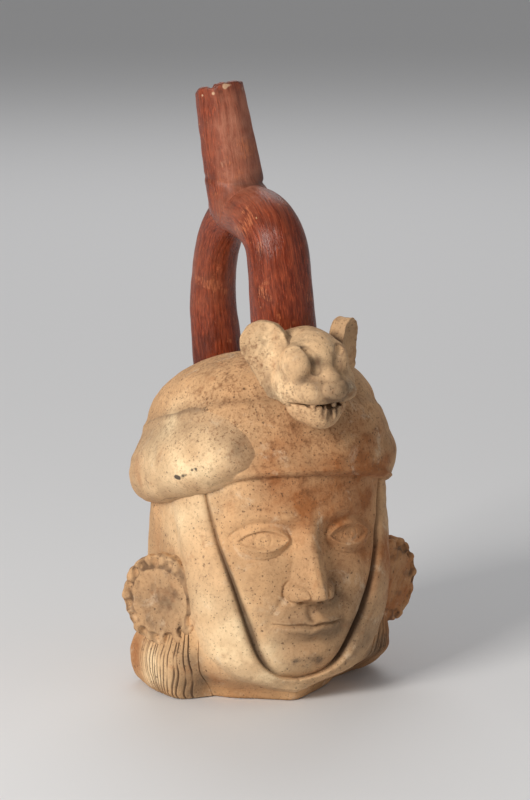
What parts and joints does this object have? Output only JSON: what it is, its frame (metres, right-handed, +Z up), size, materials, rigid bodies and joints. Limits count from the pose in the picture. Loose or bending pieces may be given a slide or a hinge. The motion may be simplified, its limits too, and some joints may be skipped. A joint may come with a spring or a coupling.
{
  "type": "head-shaped stirrup-spout vessel",
  "caption": "Hollow fired-clay bottle shaped as a head in a wrapped headdress with an animal's head on its brow; it is filled, carried and poured by a stirrup spout.",
  "frame": {"origin": "middle of the flat foot, on the surface that the bottle stands on", "axes": "+Z up through the head and the stirrup; the face looks along -Y; the figure's left side is at +X"},
  "size_m": [0.153, 0.1522, 0.2937],
  "materials": {
    "buff_clay": "matt fired clay, buff with orange and grey clouds",
    "pale_clay": "matt fired clay, pale cream",
    "orange_clay": "matt fired clay, orange brown",
    "red_slip": "burnished red slip, satin"
  },
  "bodies": {
    "root": {"foot_slab": "orange_clay", "face_mould_half": "buff_clay", "nape_mould_half": "buff_clay", "chin_strap": "pale_clay", "ear_ornament_right": "buff_clay", "ear_ornament_left": "orange_clay", "hair_lock_right": "orange_clay", "hair_lock_left": "orange_clay", "headdress_wrap_front": "buff_clay", "headdress_wrap_back": "buff_clay", "headdress_crown": "buff_clay", "headdress_lobe_right": "pale_clay", "headdress_lobe_left": "buff_clay", "stirrup_arm_front": "red_slip", "stirrup_arm_back": "red_slip", "spout": "red_slip", "animal_head": "pale_clay", "animal_jaw": "pale_clay", "animal_fang_right": "pale_clay", "animal_fang_left": "pale_clay", "animal_ear_right": "pale_clay", "animal_ear_left": "pale_clay"}
  },
  "joints": []
}
